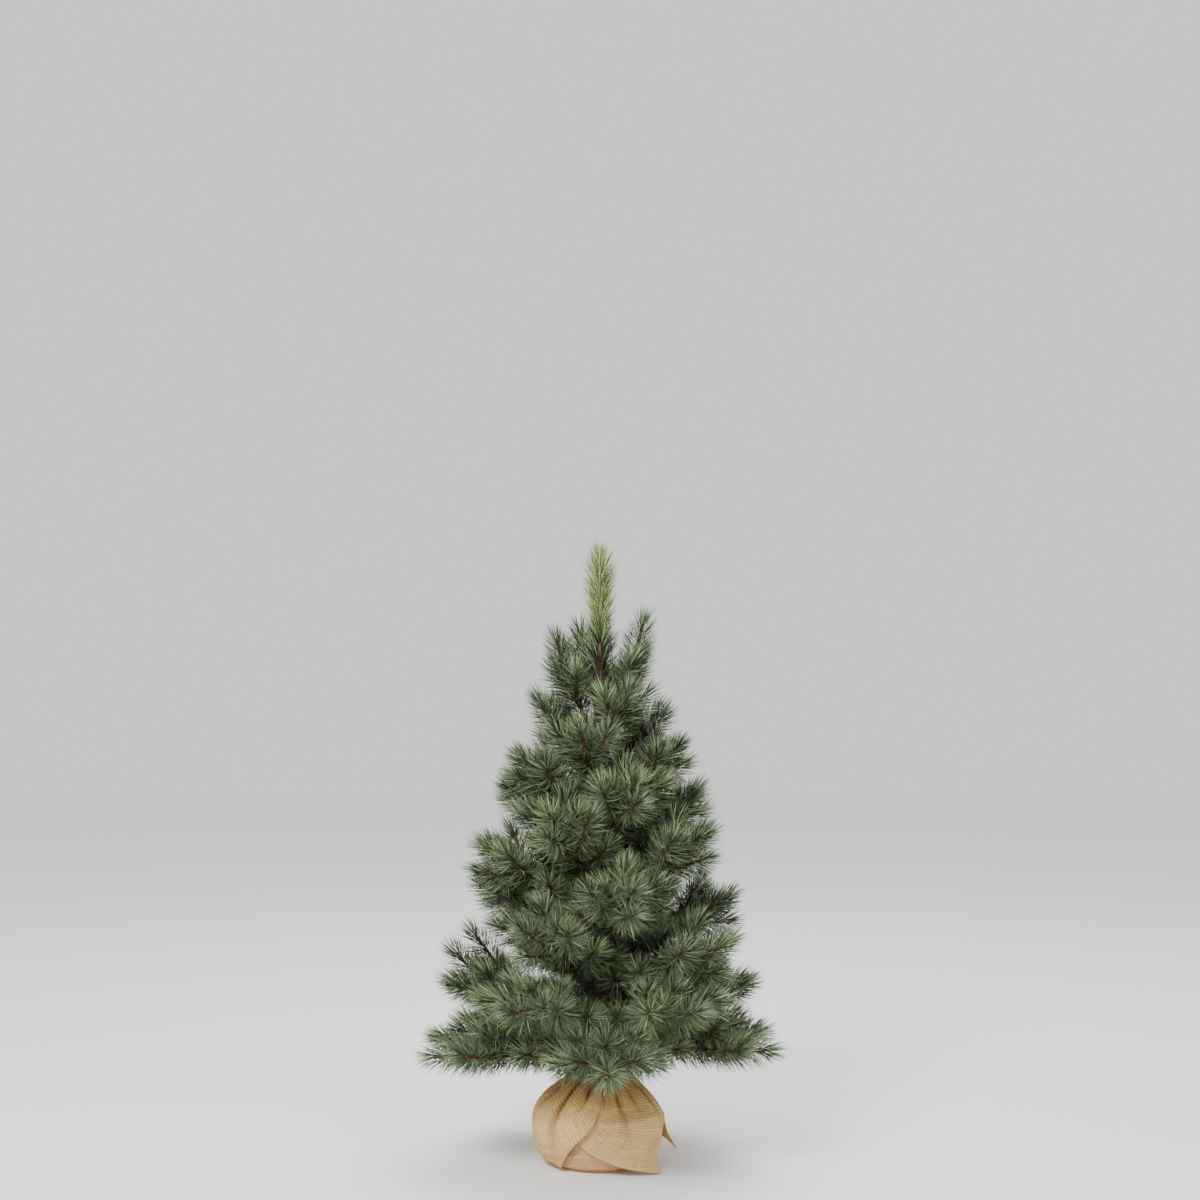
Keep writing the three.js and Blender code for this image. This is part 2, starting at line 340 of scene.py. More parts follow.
def tape_material():
    material, tree, shader = new_material("trunk_tape", 0.6, 0.4)
    place = object_coordinate(tree)
    split = tree.nodes.new("ShaderNodeSeparateXYZ")
    tree.links.new(place, split.inputs[0])
    climbed = times(tree, split.outputs["Z"], TAPE_LAPS_PER_METRE)
    turn = math_node(tree, "ARCTAN2", split.outputs["Y"], split.outputs["X"])
    turned = times(tree, turn, 1 / (2 * math.pi))
    lap = math_node(tree, "FRACT", plus(tree, climbed, turned))
    mottle = noise(tree, place, 300.0, 3.0)
    tone = ramp(tree, mottle, [(0.3, srgb(60, 38, 26)), (0.7, srgb(96, 62, 42))])
    # Painted shade: each lap darker at the low foot of the step between laps.
    painted_lap_shade = ramp(tree, lap, [(0.0, grey(0.55)), (0.15, grey(1))])
    tree.links.new(mix_colour(tree, "MULTIPLY", 1.0, tone, painted_lap_shade), shader.inputs["Base Color"])
    bump(tree, shader, lap, 0.6, 0.0008)
    return material


# ---------------------------------------------------------------- needles and stems

UP = np.array([0.0, 0.0, 1.0])


class Wire(NamedTuple):
    """A length of twisted wire, which may lift towards its end."""

    start: np.ndarray
    direction: np.ndarray
    length: float
    rise: float = 0.0  # how far its end lifts, as a share of its length
    bare: float = 0.0  # share of its length, from its start, that has no needles


def curve_points(wire, places):
    """Points and tangents along a wire, at the given shares of its length."""
    lift = wire.rise * wire.length
    points = wire.start + np.outer(places * wire.length, wire.direction) + np.outer(lift * places**2, UP)
    tangents = unit(wire.direction * wire.length + np.outer(2 * lift * places, UP))
    return points, tangents


def side_axes(tangents):
    """Two directions at right angles to each tangent."""
    guide = np.where(np.abs(tangents[:, 2:3]) < 0.95, [[0.0, 0.0, 1.0]], [[1.0, 0.0, 0.0]])
    first = unit(np.cross(tangents, guide))
    return first, np.cross(tangents, first)


def brush(wire, tint_bias, reach=NEEDLE_LENGTH, lean=LEAN, density=1.0):
    """The needles of one wire, five points each, and the tint of each."""
    covered = 1 - wire.bare
    count = int(NEEDLES_PER_METRE * density * wire.length * covered)
    places = wire.bare + covered * (np.arange(count) + rng.random(count)) / count
    points, tangents = curve_points(wire, places)
    first, second = side_axes(tangents)
    turn = np.arange(count) * GOLDEN_TURN + rng.normal(0, TURN_SPREAD, count)
    outward = np.cos(turn)[:, None] * first + np.sin(turn)[:, None] * second
    to_end = (1 - places) * wire.length
    closing = np.clip(1 - to_end / TIP_ZONE, 0, 1) ** TIP_CURVE
    angle = np.radians(lean + (LEAN_AT_TIP - lean) * closing + rng.normal(0, LEAN_SPREAD, count))
    from_root = np.clip((places - wire.bare) * wire.length / ROOT_ZONE, 0, 1)
    size = reach * (SHORT_AT_ROOT + (1 - SHORT_AT_ROOT) * from_root)
    size = size * (1 - TIP_SHORTENING * closing) * rng.uniform(*LENGTH_SPREAD, count)
    aim = unit(np.cos(angle)[:, None] * tangents + np.sin(angle)[:, None] * outward)
    flat = unit(np.cross(aim, tangents) + NEEDLE_ROLL * rng.normal(0, 1, (count, 3)))
    flat = unit(flat - (flat * aim).sum(1, keepdims=True) * aim)
    thick = np.cross(aim, flat)
    base = points + outward * STEM_RADIUS / 2
    bend = unit(aim + NEEDLE_CURVE * tangents + rng.normal(0, NEEDLE_CROOK, (count, 3)))
    widest = base + aim * (size * WIDEST_AT)[:, None]
    tip = widest + bend * (size * (1 - WIDEST_AT))[:, None]
    width = NEEDLE_WIDTH * rng.uniform(*WIDTH_SPREAD, count)[:, None] * flat / 2
    depth = NEEDLE_THICKNESS * thick
    rows = [base, widest - width, widest + width, widest + depth, tip]
    tint = MEAN_TINT + tint_bias + rng.normal(0, TINT_SPREAD, count) + TIP_TINT * closing
    # Painted highlights: a random share of the needles lifted to much paler tints.
    tint += PAINTED_HIGHLIGHT_LIFT * (rng.random(count) < PAINTED_HIGHLIGHT_SHARE)
    return np.stack(rows, axis=1), tint


# A needle is two three-sided points, base to base. Its first two faces are the pale side, partly the needles' own
# frosting and partly painted highlight.
NEEDLE_FACES = np.array([(0, 2, 1), (1, 2, 4), (0, 3, 2), (2, 3, 4), (0, 1, 3), (3, 1, 4)])
FROST_AND_HIGHLIGHT_FACES = 2
CORNER_U = np.array([0.5, 0.15, 0.85, 0.5, 0.5])
CORNER_V = np.array([0.02, WIDEST_AT, WIDEST_AT, WIDEST_AT, 0.98])


def needles_object(name, brushes, material):
    points = np.concatenate([rows for rows, _ in brushes])
    tint = np.concatenate([tints for _, tints in brushes])
    count = len(points)
    column = np.clip((tint * TINTS).astype(int), 0, TINTS - 1)
    faces = (np.arange(count)[:, None, None] * len(CORNER_U) + NEEDLE_FACES[None]).reshape(-1, 3)
    face_u = CORNER_U[NEEDLE_FACES]
    face_v = CORNER_V[NEEDLE_FACES] / 2
    # The pale faces, partly painted highlight, take the upper half of v.
    face_v[:FROST_AND_HIGHLIGHT_FACES] += 0.5
    u = (column[:, None, None] + face_u[None]) * TINT_SHARE
    v = np.broadcast_to(face_v, u.shape)
    piece = mesh_object(name, points.reshape(-1, 3), faces, np.stack([u, v], axis=-1).reshape(-1, 2))
    piece.data.materials.append(material)
    return piece


def stem_rows(wire):
    """A twisted wire: a two-lobed section that turns along the way and narrows at its end."""
    count = max(int(wire.length / STEM_STEP), 4)
    places = np.linspace(0, 1, count + 1)
    points, tangents = curve_points(wire, places)
    first, second = side_axes(tangents)
    around = np.arange(STEM_SIDES) * 2 * math.pi / STEM_SIDES
    twist = places * wire.length / STEM_TWIST * 2 * math.pi
    lobes = 1 + STEM_LOBES * np.cos(2 * (around[None] - twist[:, None]))
    taper = np.minimum(1, STEM_END + (1 - places) * wire.length / STEM_TAPER)[:, None]
    size = STEM_RADIUS * lobes * taper
    ring = (
        points[:, None]
        + (size * np.cos(around))[..., None] * first[:, None]
        + (size * np.sin(around))[..., None] * second[:, None]
    )
    start_cap = np.array([[5, 4, 3, 2], [5, 2, 1, 0]])  # for six sides
    end_cap = np.array([[0, 1, 2, 3], [0, 3, 4, 5]]) + count * STEM_SIDES
    return ring.reshape(-1, 3), np.concatenate([tube_faces(count, STEM_SIDES), start_cap, end_cap])


def joined(parts):
    points, faces, offset = [], [], 0
    for part_points, part_faces in parts:
        points.append(part_points)
        faces.append(part_faces + offset)
        offset += len(part_points)
    return np.concatenate(points), np.concatenate(faces)


def cad_node(joint):
    return frame["record"]["behaviour"]["bodies"][joint["child"]][0]


def fillers_of(node, height):
    """The side pairs and single fillers of a branch with its root at this height."""
    pairs, fillers = SIDE_PAIRS[:1], ()
    if height < UPPER_SPRIG_ROOTS[0]:
        pairs = SIDE_PAIRS + FILLER_PAIRS + LOW_FILLER_PAIRS
        fillers = LOW_FILLERS
    elif height < TWO_PAIRS_BELOW:
        pairs = SIDE_PAIRS + FILLER_PAIRS
        fillers = FILLERS
    return pairs, fillers + EXTRA_FILLERS.get(node, ())


def branch_wires(joint):
    """The wires of one branch, from its hinge and the far end of its CAD node."""
    name = cad_node(joint)
    vertices = frame["nodes"][name].data.vertices
    root = np.array(joint["pos_m"])
    points = np.zeros(len(vertices) * 3, np.float32)
    vertices.foreach_get("co", points)
    points = points.reshape(-1, 3).astype(float)
    end = points[np.argmax(np.linalg.norm(points - root, axis=1))]
    reach = np.linalg.norm(end - root)
    main = (end - root) / reach
    wire = reach - TUFT_CORE
    outward = unit(np.array([main[0], main[1], 0.0]))
    sideways = np.array([-outward[1], outward[0], 0.0])
    slope = math.asin(main[2])
    wires = [Wire(root, main, wire, bare=BARE_MAIN_ROOT)]
    above = UP * outward.dot(main) - outward * main[2]
    if UPPER_SPRIG_ROOTS[0] < root[2] < UPPER_SPRIG_ROOTS[1]:
        start = root + main * UPPER_SPRIG_AT * wire
        to_tip = points[np.argmax((points - root) @ above)] - start
        length = np.linalg.norm(to_tip)
        wires.append(Wire(start, to_tip / length, length - TUFT_CORE, bare=BARE_ROOT))
    pairs, fillers = fillers_of(name, root[2])
    for pair in pairs:
        lifted = slope + math.radians(pair["lift"])
        ahead = outward * math.cos(lifted) + UP * math.sin(lifted)
        start = root + main * pair["at"] * wire
        for hand in (-1, 1):
            side = math.radians(hand * pair["side"])
            direction = ahead * math.cos(side) + sideways * math.sin(side)
            wires.append(Wire(start, direction, pair["length"] * wire, SPRIG_RISE, BARE_ROOT))
    for filler in fillers:
        lifted = min(slope + math.radians(filler["lift"]), math.radians(STEEPEST))
        direction = outward * math.cos(lifted) + UP * math.sin(lifted)
        start = root + main * filler["at"] * wire
        wires.append(Wire(start, direction, filler["length"] * wire, bare=BARE_ROOT))
    return wires


def make_branch(joint, needle_look, stem_look):
    node = cad_node(joint)
    wires = branch_wires(joint)
    brushes = [brush(wire, rng.normal(0, BRANCH_TINT_SPREAD)) for wire in wires]
    needles = needles_object(f"{node}_needles", brushes, needle_look)
    stem = mesh_object(f"{node}_stems", *joined([stem_rows(wire) for wire in wires]), smooth=True)
    stem.data.materials.append(stem_look)
    for piece, slot in ((needles, "needles"), (stem, "brown_pvc")):
        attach(piece, joint["child"])
    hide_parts(node)


def make_leader(stem_look):
    low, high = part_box("leader_sprig")
    look = needle_material(
        "leader_needles",
        [(0.0, srgb(22, 34, 8)), (0.5, srgb(112, 130, 52)), (1.0, srgb(196, 204, 142))],
        srgb(196, 204, 146),
    )
    foot = np.array([0.0, 0.0, low[2]])
    wire = Wire(foot, UP, high[2] - low[2] - TUFT_CORE - LEADER_GAP)
    rows = brush(wire, LEADER_TINT, LEADER_NEEDLE, LEADER_LEAN, CROWN_DENSITY)
    needles = needles_object("leader_needles", [rows], look)
    stem = mesh_object("leader_stem", *stem_rows(wire), smooth=True)
    stem.data.materials.append(stem_look)
    for piece, slot in ((needles, "leader_needles"), (stem, "brown_pvc")):
        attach(piece, ROOT)
    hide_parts("leader_sprig")


def make_collar(look):
    """Needles round the top of the trunk, under the leader."""
    low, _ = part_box("leader_sprig")
    wire = Wire(np.array([0.0, 0.0, low[2] - COLLAR]), UP, COLLAR * COLLAR_WIRE)
    rows = brush(wire, COLLAR_TINT, COLLAR_NEEDLE, COLLAR_LEAN, CROWN_DENSITY)
    collar = needles_object("crown_needles", [rows], look)
    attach(collar, ROOT)


# ---------------------------------------------------------------- burlap

# Edges of the burlap corners that are folded down over the bag, each as a few points of
# (turn about the trunk in degrees, distance from its axis in mm, height in mm). flat is the size of
# the flap's cloth in metres, threads the turn of its threads in degrees and lift its distance in mm
# from what it lies on, beyond BAG_CLEARANCE.
FLAPS = {
    "burlap_fold_left": {
        "left": [(-205, 16, 88), (-207, 46, 66), (-212, 60.5, 42), (-216, 59, 10)],
        "right": [(-94, 17, 89), (-88, 41, 73), (-96, 63.5, 49), (-110, 66, 31), (-131, 55.5, 4)],
        "bottom": [(-216, 59, 10), (-175, 59, 11), (-150, 56.5, 8), (-131, 55.5, 4)],
        "flat": (0.112, 0.100),
        "threads": 52,
        "lift": 1.6,
    },
    "burlap_flap_right": {
        "left": [(-100, 16, 88), (-104, 46, 70), (-114, 61, 50), (-124, 61, 40)],
        "right": [
            (-2, 16, 88),
            (-5, 45, 69),
            (-8, 60, 48),
            (-22, 61.5, 26),
            (-35, 65, 12),
            (-42, 76, 1.5),
        ],
        "bottom": [
            (-124, 61, 40),
            (-109, 62, 31),
            (-97, 62.5, 21),
            (-81, 63.5, 13),
            (-65, 66.5, 7),
            (-42, 76, 1.5),
        ],
        "flat": (0.106, 0.092),
        "threads": 4,
        "lift": 0.0,
    },
    "burlap_flap_rear": {
        "left": [(-6, 16, 88), (-2, 45, 68), (4, 60, 47), (6, 62, 36), (8, 66, 24), (12, 76, 8)],
        "right": [(160, 16, 88), (160, 46, 66), (158, 60.5, 42), (154, 59, 12)],
        "bottom": [(12, 76, 8), (20, 68, 16), (40, 63, 19), (80, 62.5, 17), (115, 61, 14), (154, 59, 12)],
        "flat": (0.146, 0.098),
        "threads": 20,
        "lift": 0.0,
    },
}
FLAP_ACROSS = 120  # points across a flap, and down it
FLAP_DOWN = 90
BAG_CLEARANCE = 1.2  # mm from the bag's face to a flap's middle layer
FLAP_LIFT = 0.8  # mm
LOWEST_CLOTH = 1.2  # mm above the floor
SMALL_FOLD_PITCH = 8  # degrees
RIPPLE = 0.45  # mm; a slight wave down and across each flap
RIPPLE_DOWN = 9
RIPPLE_ACROSS = 0.21
CLOTH_THICKNESS = 0.0011
DEEP_FOLD = 4.5  # mm; the burlap's painted shade in creases is darkest where it is pushed in this far
THREAD = 0.0023  # pitch of the burlap threads
THREAD_DIP = 0.3  # how far a thread's top sinks where it goes under
THREAD_DRIFT = 0.9
YARN_CHANGES = 60.0  # per metre along a thread

BAG_NECK = 12  # mm; levels of its CAD node that are narrower than this are left out
BAG_FLOOR = 0.6  # mm; height of the cloth under the pot
BAG_FLOOR_HOLE = 2.0  # mm; radius of the gap in its middle
BAG_ROWS = 110
BAG_COLUMNS = 180
BAG_GIRTH_RADIUS = 0.0605
BAG_FOLDS = 30
BAG_SIDE = 0.72  # share of its length, from the neck, over which its folds run
BAG_FLAT_BELOW = 30  # mm; height under which the folds fade out, down to the flat underside
BAG_SINK = 0.6  # mm inside its CAD face
BAG_SWELL = 0.5  # mm; a slight wave round and down the bag
SWELLS_ROUND = 5
SWELL_DOWN = 6
SHOULDER = 74  # height in mm where the gathered bag sinks most under the flaps
SHOULDER_SINK = 7.5
SHOULDER_SPREAD = 13


def spline(points, count):
    """Evenly spread points on a smooth line through the given ones."""
    points = np.array(points, float)
    ahead = np.concatenate([points[:1] * 2 - points[1:2], points, points[-1:] * 2 - points[-2:-1]])
    place = np.linspace(0, len(points) - 1, 400)
    span = np.minimum(place.astype(int), len(points) - 2)
    t = (place - span)[:, None]
    p0, p1, p2, p3 = (ahead[span + step] for step in range(4))
    linear = (p2 - p0) * t
    square = (2 * p0 - 5 * p1 + 4 * p2 - p3) * t**2
    cube = (3 * p1 - p0 - 3 * p2 + p3) * t**3
    fine = 0.5 * (2 * p1 + linear + square + cube)
    world = cylinder_points(fine)
    travelled = np.concatenate([[0], np.cumsum(np.linalg.norm(np.diff(world, axis=0), axis=1))])
    even = np.linspace(0, travelled[-1], count)
    return np.stack([np.interp(even, travelled, fine[:, axis]) for axis in range(3)], axis=1)


def cylinder_points(places):
    """World metres from (turn in degrees, radius in mm, height in mm)."""
    turn = np.radians(places[..., 0])
    radius, height = places[..., 1], places[..., 2]
    return np.stack([radius * np.cos(turn), radius * np.sin(turn), height], axis=-1) * MM


def bag_profile():
    """Radius of the bag's outer face in mm against height, from its CAD node."""
    data = frame["nodes"]["burlap_bag"].data
    points = np.array([vertex.co for vertex in data.vertices])
    radius = np.hypot(points[:, 0], points[:, 1]) / MM
    height = np.round(points[:, 2] / MM, 1)
    levels = np.unique(height)
    outer = np.array([radius[height == level].max() for level in levels])
    keep = outer > BAG_NECK
    levels, outer = levels[keep], outer[keep]
    fine = np.linspace(levels[0], levels[-1], 60)
    sunk = SHOULDER_SINK * np.exp(-(((fine - SHOULDER) / SHOULDER_SPREAD) ** 2))
    return fine, np.interp(fine, levels, outer) - sunk


def pleat_depth(turn, down, pleats):
    """Outward push in mm of folds that run down from the neck and fade before the hem."""
    push = np.zeros_like(turn)
    for centre, slant, width, height, fade in pleats:
        middle = centre + slant * down
        spread = width * (0.5 + 1.3 * down)
        rise = np.clip(down / 0.1, 0, 1) * np.exp(-((down / fade) ** 2.4))
        push += height * rise * np.exp(-(((turn - middle) / spread) ** 2))
    return push


# Folds of each flap: turn at the neck, drift of that turn by the hem and width in degrees, height
# in mm (a valley is negative) and how far down they reach as a share of the flap.
PLACED_PLEATS = {
    "burlap_fold_left": [
        (-176, -16, 10, 7.5, 0.62),
        (-160, -20, 5, -6.5, 0.55),
        (-146, -14, 7, 5.0, 0.66),
        (-131, -6, 4.5, -7.0, 0.6),
        (-120, 2, 5, 4.5, 0.55),
        (-107, 4, 4, -3.0, 0.4),
    ],
    "burlap_flap_right": [
        (-94, -8, 4, 3.5, 0.4),
        (-86, -2, 3, -6.0, 0.42),
        (-79, 4, 3.2, 4.0, 0.4),
        (-71, 10, 3.4, -6.5, 0.5),
        (-60, 8, 6, 4.5, 0.45),
        (-47, 8, 4, -4.0, 0.42),
        (-34, 4, 6, 3.5, 0.5),
        (-20, 4, 4, -4.0, 0.38),
    ],
    "burlap_flap_rear": [
        (12, 4, 5, -3.5, 0.45),
        (30, 6, 6, 4.0, 0.5),
        (46, 2, 4, -5.5, 0.5),
        (62, 0, 9, 4.0, 0.6),
        (85, 4, 5, -5.5, 0.5),
        (104, 4, 7, 3.5, 0.5),
        (124, -4, 5, -5.0, 0.5),
    ],
}


def flap_pleats(name, low, high):
    """The placed folds of one flap and a seeded spread of small ones."""
    count = int((high - low) / SMALL_FOLD_PITCH)
    centres = np.linspace(low, high, count) + rng.normal(0, 2.5, count)
    small = [
        (
            centre,
            rng.normal(0, 8),
            rng.uniform(1.6, 3.2),
            rng.choice([-1, 1]) * rng.uniform(0.8, 2.2),
            rng.uniform(0.2, 0.45),
        )
        for centre in centres
    ]
    return small + PLACED_PLEATS[name]


def spanned(spec):
    """The grid of points that spans a flap's four edges, which start and end at shared corners."""
    left = spline(spec["left"], FLAP_DOWN)
    right = spline(spec["right"], FLAP_DOWN)
    bottom = spline(spec["bottom"], FLAP_ACROSS)
    top = np.linspace(left[0], right[0], FLAP_ACROSS)
    across = np.linspace(0, 1, FLAP_ACROSS)[None, :, None]
    down = np.linspace(0, 1, FLAP_DOWN)[:, None, None]
    places = (1 - down) * top[None] + down * bottom[None]
    places = places + (1 - across) * left[:, None] + across * right[:, None]
    places -= (1 - down) * ((1 - across) * left[0] + across * right[0])
    places -= down * ((1 - across) * left[-1] + across * right[-1])
    return places


def make_flap(name, look, profile):
    spec = FLAPS[name]
    places = spanned(spec)
    turn, radius, height = places[..., 0], places[..., 1], places[..., 2]
    across, down = np.meshgrid(np.linspace(0, 1, FLAP_ACROSS), np.linspace(0, 1, FLAP_DOWN))
    least = np.interp(height, *profile) + BAG_CLEARANCE + spec["lift"]
    radius = np.maximum(radius, least)
    push = pleat_depth(turn, down, flap_pleats(name, turn.min(), turn.max()))
    push = push + RIPPLE * np.sin(down * RIPPLE_DOWN + turn * RIPPLE_ACROSS) * down
    radius = np.maximum(radius + push + FLAP_LIFT, least)
    places = np.stack([turn, radius, np.maximum(height, LOWEST_CLOTH)], axis=-1)
    points = cylinder_points(places).reshape(-1, 3)
    faces = sheet_faces(FLAP_DOWN, FLAP_ACROSS)
    flat_u = across.ravel() * spec["flat"][0]
    flat_v = down.ravel() * spec["flat"][1]
    cos, sin = math.cos(math.radians(spec["threads"])), math.sin(math.radians(spec["threads"]))
    uv = np.stack([flat_u * cos - flat_v * sin, flat_u * sin + flat_v * cos], axis=-1)
    piece = mesh_object(name + "_cloth", points, faces, uv[faces.ravel()], "cloth", smooth=True)
    finish_cloth(piece, push, look, name)
    return piece


def finish_cloth(piece, push, look, cad_name):
    mark_folds(piece, push)
    piece.data.materials.append(look)
    thicken(piece)
    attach(piece, ROOT)
    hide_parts(cad_name)


def mark_folds(piece, push):
    """Store how deep each point lies in a fold, 0 to 1, for the painted shade in the burlap's creases."""
    layer = piece.data.attributes.new("fold", "FLOAT", "POINT")
    layer.data.foreach_set("value", np.clip(-push / DEEP_FOLD, 0, 1).astype(np.float32).ravel())


def thicken(piece):
    solidify = piece.modifiers.new("thickness", "SOLIDIFY")
    solidify.thickness = CLOTH_THICKNESS
    solidify.offset = 0.0


def make_bag(look, profile):
    """The gathered bag: its outer face and its underside, as one sheet wrapped round the pot."""
    heights, radii = profile
    side = np.stack([radii, heights], axis=1)
    floor = np.linspace([BAG_FLOOR_HOLE, BAG_FLOOR], [radii[0] - 1, BAG_FLOOR], 12)
    face = np.concatenate([floor, side])
    travelled = np.concatenate([[0], np.cumsum(np.linalg.norm(np.diff(face, axis=0), axis=1))])
    even = np.linspace(0, travelled[-1], BAG_ROWS)
    radius = np.interp(even, travelled, face[:, 0])
    height = np.interp(even, travelled, face[:, 1])
    turn = np.linspace(-180, 180, BAG_COLUMNS + 1)[:-1]
    from_neck = 1 - even / travelled[-1]
    pleats = [  # valleys, with their values in the order of PLACED_PLEATS
        (centre, rng.normal(0, 6), rng.uniform(3, 5), -rng.uniform(1.0, 3.2), 0.45)
        for centre in np.linspace(-172, 172, BAG_FOLDS)
    ]
    turns, levels = np.meshgrid(turn, np.clip(from_neck / BAG_SIDE, 0, 1))
    push = pleat_depth(turns, levels, pleats)
    swell = BAG_SWELL * np.sin(np.radians(turns) * SWELLS_ROUND + 1.0) * np.sin(levels * SWELL_DOWN)
    fade = np.clip(height / BAG_FLAT_BELOW, 0, 1)[:, None]
    radii = radius[:, None] + (push + swell - BAG_SINK) * fade
    heights = np.broadcast_to(height[:, None], turns.shape)
    points = cylinder_points(np.stack([turns, radii, heights], axis=-1))
    step = 2 * math.pi * BAG_GIRTH_RADIUS / BAG_COLUMNS
    before, after = np.arange(BAG_COLUMNS) * step, np.arange(1, BAG_COLUMNS + 1) * step
    corner_u = np.stack([before, after, after, before], axis=1)
    corner_v = np.stack([even[:-1], even[:-1], even[1:], even[1:]], axis=1) * MM
    grid = (BAG_ROWS - 1, BAG_COLUMNS, 4)
    u = np.broadcast_to(corner_u[None], grid)
    v = np.broadcast_to(corner_v[:, None], grid)
    uv = np.stack([u, v], axis=-1).reshape(-1, 2)
    faces = tube_faces(BAG_ROWS - 1, BAG_COLUMNS)
    piece = mesh_object("burlap_bag_cloth", points.reshape(-1, 3), faces, uv, "cloth", smooth=True)
    finish_cloth(piece, push, look, "burlap_bag")
    return piece


def weave(tree, cloth_uv):
    """Height of a plain weave, 0 to 1: each thread goes over and under the ones it crosses."""
    split = tree.nodes.new("ShaderNodeSeparateXYZ")
    tree.links.new(cloth_uv, split.inputs[0])
    wander = noise(tree, cloth_uv, 90.0, 1.0)
    drift = times(tree, math_node(tree, "SUBTRACT", wander, 0.5), THREAD_DRIFT)
    threads = [plus(tree, times(tree, split.outputs[axis], 1 / THREAD), drift) for axis in ("X", "Y")]
    round_tops = [
        math_node(tree, "SINE", times(tree, math_node(tree, "FRACT", value), math.pi))
        for value in threads
    ]
    tops = []
    for own, other, shift in ((0, 1, -0.5), (1, 0, 0.5)):
        index = math_node(tree, "FLOOR", threads[own])
        phase = plus(tree, plus(tree, threads[other], shift), index)
        wave = math_node(tree, "COSINE", times(tree, phase, math.pi))
        over = plus(tree, times(tree, wave, THREAD_DIP), 1 - THREAD_DIP)
        tops.append(times(tree, round_tops[own], over))
    return math_node(tree, "MAXIMUM", *tops)


def uneven_yarn(tree, cloth_uv):
    """Tone that changes slowly along each thread and quickly from one to the next."""
    yarn = []
    for stretch in ((1 / THREAD, YARN_CHANGES), (YARN_CHANGES, 1 / THREAD)):
        scaled = tree.nodes.new("ShaderNodeMapping")
        scaled.inputs["Scale"].default_value = (*stretch, 1.0)
        tree.links.new(cloth_uv, scaled.inputs["Vector"])
        yarn.append(noise(tree, scaled.outputs["Vector"], 1.0, 2.0))
    return times(tree, plus(tree, *yarn), 0.5)


def burlap_material(name, thread_colours, gap_shade_colour):
    """Plain weave from the cloth's own uv in metres: raised threads over gaps of painted shade,
    with painted shade in the creases, and darker towards the neck, partly the gathered cloth's
    own tone and partly painted shade."""
    material, tree, shader = new_material(name, 0.92, 0.15)
    uv_node = tree.nodes.new("ShaderNodeUVMap")
    uv_node.uv_map = "cloth"
    cloth_uv = uv_node.outputs["UV"]
    height = weave(tree, cloth_uv)
    tones = list(zip((0.3, 0.5, 0.7), thread_colours))
    threads = ramp(tree, uneven_yarn(tree, cloth_uv), tones)
    # Painted shade: the low gaps between the threads take the dark gap colour.
    painted_weave_shade = ramp(tree, height, [(0.12, grey(0)), (0.56, grey(1))])
    woven = mix_colour(tree, "MIX", painted_weave_shade, gap_shade_colour, threads)
    patches = noise(tree, object_coordinate(tree), 28.0, 3.0)
    patchy = ramp(tree, patches, [(0.3, (0.88, 0.85, 0.82, 1)), (0.7, grey(1))])
    upright = tree.nodes.new("ShaderNodeSeparateXYZ")
    tree.links.new(object_coordinate(tree), upright.inputs[0])
    decimetres = times(tree, upright.outputs["Z"], 10.0)
    # Darker towards the neck: partly the gathered cloth's own deeper tone, partly painted shade under the foliage.
    neck_tone_and_shade_stops = [(0.42, grey(1)), (0.62, (0.82, 0.77, 0.71, 1)), (0.88, (0.58, 0.50, 0.44, 1))]
    neck_tone_and_shade = ramp(tree, decimetres, neck_tone_and_shade_stops)
    # Painted shade: the cloth darker the deeper a point lies in a fold.
    fold = tree.nodes.new("ShaderNodeAttribute")
    fold.attribute_name = "fold"
    painted_crease_shade = ramp(tree, fold.outputs["Fac"], [(0.05, grey(1)), (0.9, (0.42, 0.36, 0.31, 1))])
    toned = woven
    # Multiplied in: random patches, the darkening towards the neck and the painted shade in the creases.
    for patch_tone_and_shade in (patchy, neck_tone_and_shade, painted_crease_shade):
        toned = mix_colour(tree, "MULTIPLY", 1.0, toned, patch_tone_and_shade)
    tree.links.new(toned, shader.inputs["Base Color"])
    bump(tree, shader, height, 0.8, 0.0006)
    return material


def make_burlap():
    flap_threads = (srgb(196, 156, 98), srgb(218, 184, 124), srgb(230, 202, 148))
    bag_threads = (srgb(194, 148, 108), srgb(212, 170, 128), srgb(222, 188, 150))
    # The last colour of each look is the painted shade in the weave's gaps.
    look = burlap_material("burlap", flap_threads, srgb(116, 80, 50))
    bag_look = burlap_material("burlap_bag", bag_threads, srgb(150, 106, 72))
    profile = bag_profile()
    bag = make_bag(bag_look, profile)
    for name, spec in FLAPS.items():
        flap = make_flap(name, look, profile)


# ---------------------------------------------------------------- tie, trunk and base

TIE_POINTS = 160
TIE_SIDES = 10
TIE_LOBES = 0.18
TIE_TWISTS = 26
TIE_FILL = 0.92  # its thickness as a share of its CAD node's


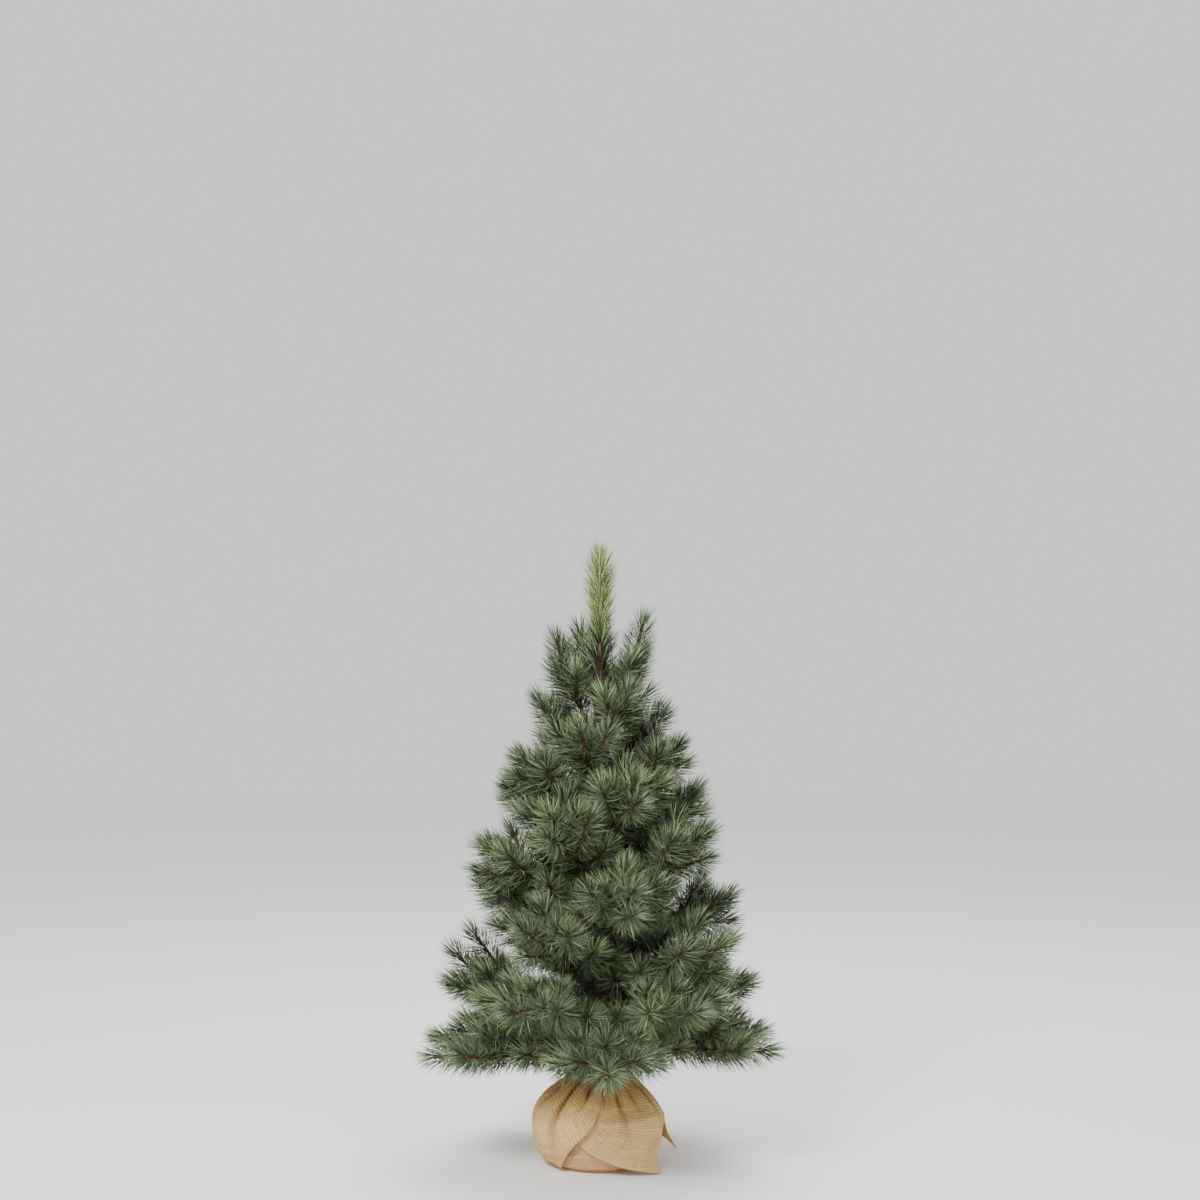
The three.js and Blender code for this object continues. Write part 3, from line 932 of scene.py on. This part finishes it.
def make_tie(look):
    """A twisted cord, closed in a ring round the neck of the bag."""
    low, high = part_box("jute_tie")
    radius = (high[2] - low[2]) / 2
    ring = high[0] - radius
    place = np.arange(TIE_POINTS) * 2 * math.pi / TIE_POINTS
    outward = np.stack([np.cos(place), np.sin(place), np.zeros(TIE_POINTS)], axis=1)
    around = np.arange(TIE_SIDES) * 2 * math.pi / TIE_SIDES
    lobes = 1 + TIE_LOBES * np.cos(2 * around[None] - TIE_TWISTS * place[:, None])
    size = radius * TIE_FILL * lobes
    points = (
        outward[:, None] * (ring + size * np.cos(around))[..., None]
        + UP * (size * np.sin(around) + (low[2] + high[2]) / 2)[..., None]
    )
    outer_first = tube_faces(TIE_POINTS, TIE_SIDES)[:, [0, 3, 2, 1]]
    faces = outer_first % (TIE_POINTS * TIE_SIDES)  # the last band ends on the first ring
    piece = mesh_object("jute_tie_cord", points.reshape(-1, 3), faces, smooth=True)
    piece.data.materials.append(look)
    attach(piece, ROOT)
    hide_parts("jute_tie")


def speckled_material(name, roughness, scale, dark, light, depth):
    """A surface with a fine random tone and a matching slight relief."""
    material, tree, shader = new_material(name, roughness)
    speckle = noise(tree, object_coordinate(tree), scale, 4.0)
    tree.links.new(ramp(tree, speckle, [(0.35, dark), (0.65, light)]), shader.inputs["Base Color"])
    bump(tree, shader, speckle, 0.5, depth)
    return material


def dress_cad_nodes():
    steel = speckled_material("steel", 0.4, 900.0, srgb(96, 92, 88), srgb(128, 124, 118), 0.00005)
    steel.node_tree.nodes["Principled BSDF"].inputs["Metallic"].default_value = 0.9
    plastic = speckled_material("pot_plastic", 0.55, 500.0, srgb(34, 33, 32), srgb(48, 46, 45), 0.0001)
    cement = speckled_material("cement", 0.95, 260.0, srgb(130, 126, 118), srgb(172, 168, 158), 0.0006)
    looks = {
        "trunk_tape": tape_material(),
        "trunk_rod": steel,
        "pot": plastic,
        "cement_weight": cement,
    }
    for name, look in looks.items():
        materials = frame["nodes"][name].data.materials
        materials.clear()
        materials.append(look)


# ---------------------------------------------------------------- scene


def make_camera():
    data = bpy.data.cameras.new("camera")
    data.sensor_width = SENSOR
    data.lens = SENSOR * CAMERA_DISTANCE / VIEW_WIDTH
    camera = bpy.data.objects.new("camera", data)
    camera.location = (0, -CAMERA_DISTANCE, CAMERA_HEIGHT)
    camera.rotation_euler = (math.radians(90), 0, 0)
    bpy.context.scene.collection.objects.link(camera)
    bpy.context.scene.camera = camera


def add_light(name, place, target, size, power):
    data = bpy.data.lights.new(name, "AREA")
    data.size = size
    data.energy = power
    light = bpy.data.objects.new(name, data)
    light.location = place
    light.rotation_euler = (Vector(target) - Vector(place)).to_track_quat("-Z", "Y").to_euler()
    bpy.context.scene.collection.objects.link(light)


def make_studio():
    world = bpy.data.worlds.new("studio")
    world.use_nodes = True
    world.node_tree.nodes["Background"].inputs["Color"].default_value = (1, 1, 1, 1)
    world.node_tree.nodes["Background"].inputs["Strength"].default_value = 1.0
    bpy.context.scene.world = world
    add_light("key", place=(-0.8, -1.5, 1.6), target=(0, 0, 0.3), size=0.6, power=46)
    add_light("fill", place=(1.5, -1.2, 0.9), target=(0, 0, 0.3), size=1.2, power=8)
    add_light("top", place=(0.2, 0.5, 1.9), target=(0, 0, 0.2), size=1.0, power=24)
    bpy.ops.mesh.primitive_plane_add(size=8)
    floor = bpy.context.active_object
    floor.name = "floor"
    material, _, shader = new_material("floor_paint", 0.9, 0.2)
    shader.inputs["Base Color"].default_value = (0.9, 0.9, 0.89, 1)
    floor.data.materials.append(material)


make_camera()
make_studio()
green = needle_material(
    "needles",
    [
        (0.0, srgb(6, 14, 8)),
        (0.25, srgb(14, 32, 14)),
        (0.5, srgb(30, 56, 26)),
        (0.75, srgb(62, 90, 36)),
        # the palest tint, towards which the painted-highlight needles are lifted
        (1.0, srgb(184, 198, 152)),
    ],
    srgb(176, 184, 130),
)
brown = stem_material()
for joint in frame["joints"]:
    make_branch(joint, green, brown)
make_leader(brown)
make_collar(green)
make_burlap()
make_tie(speckled_material("jute", 0.95, 1200.0, srgb(120, 88, 52), srgb(186, 148, 98), 0.0003))
dress_cad_nodes()
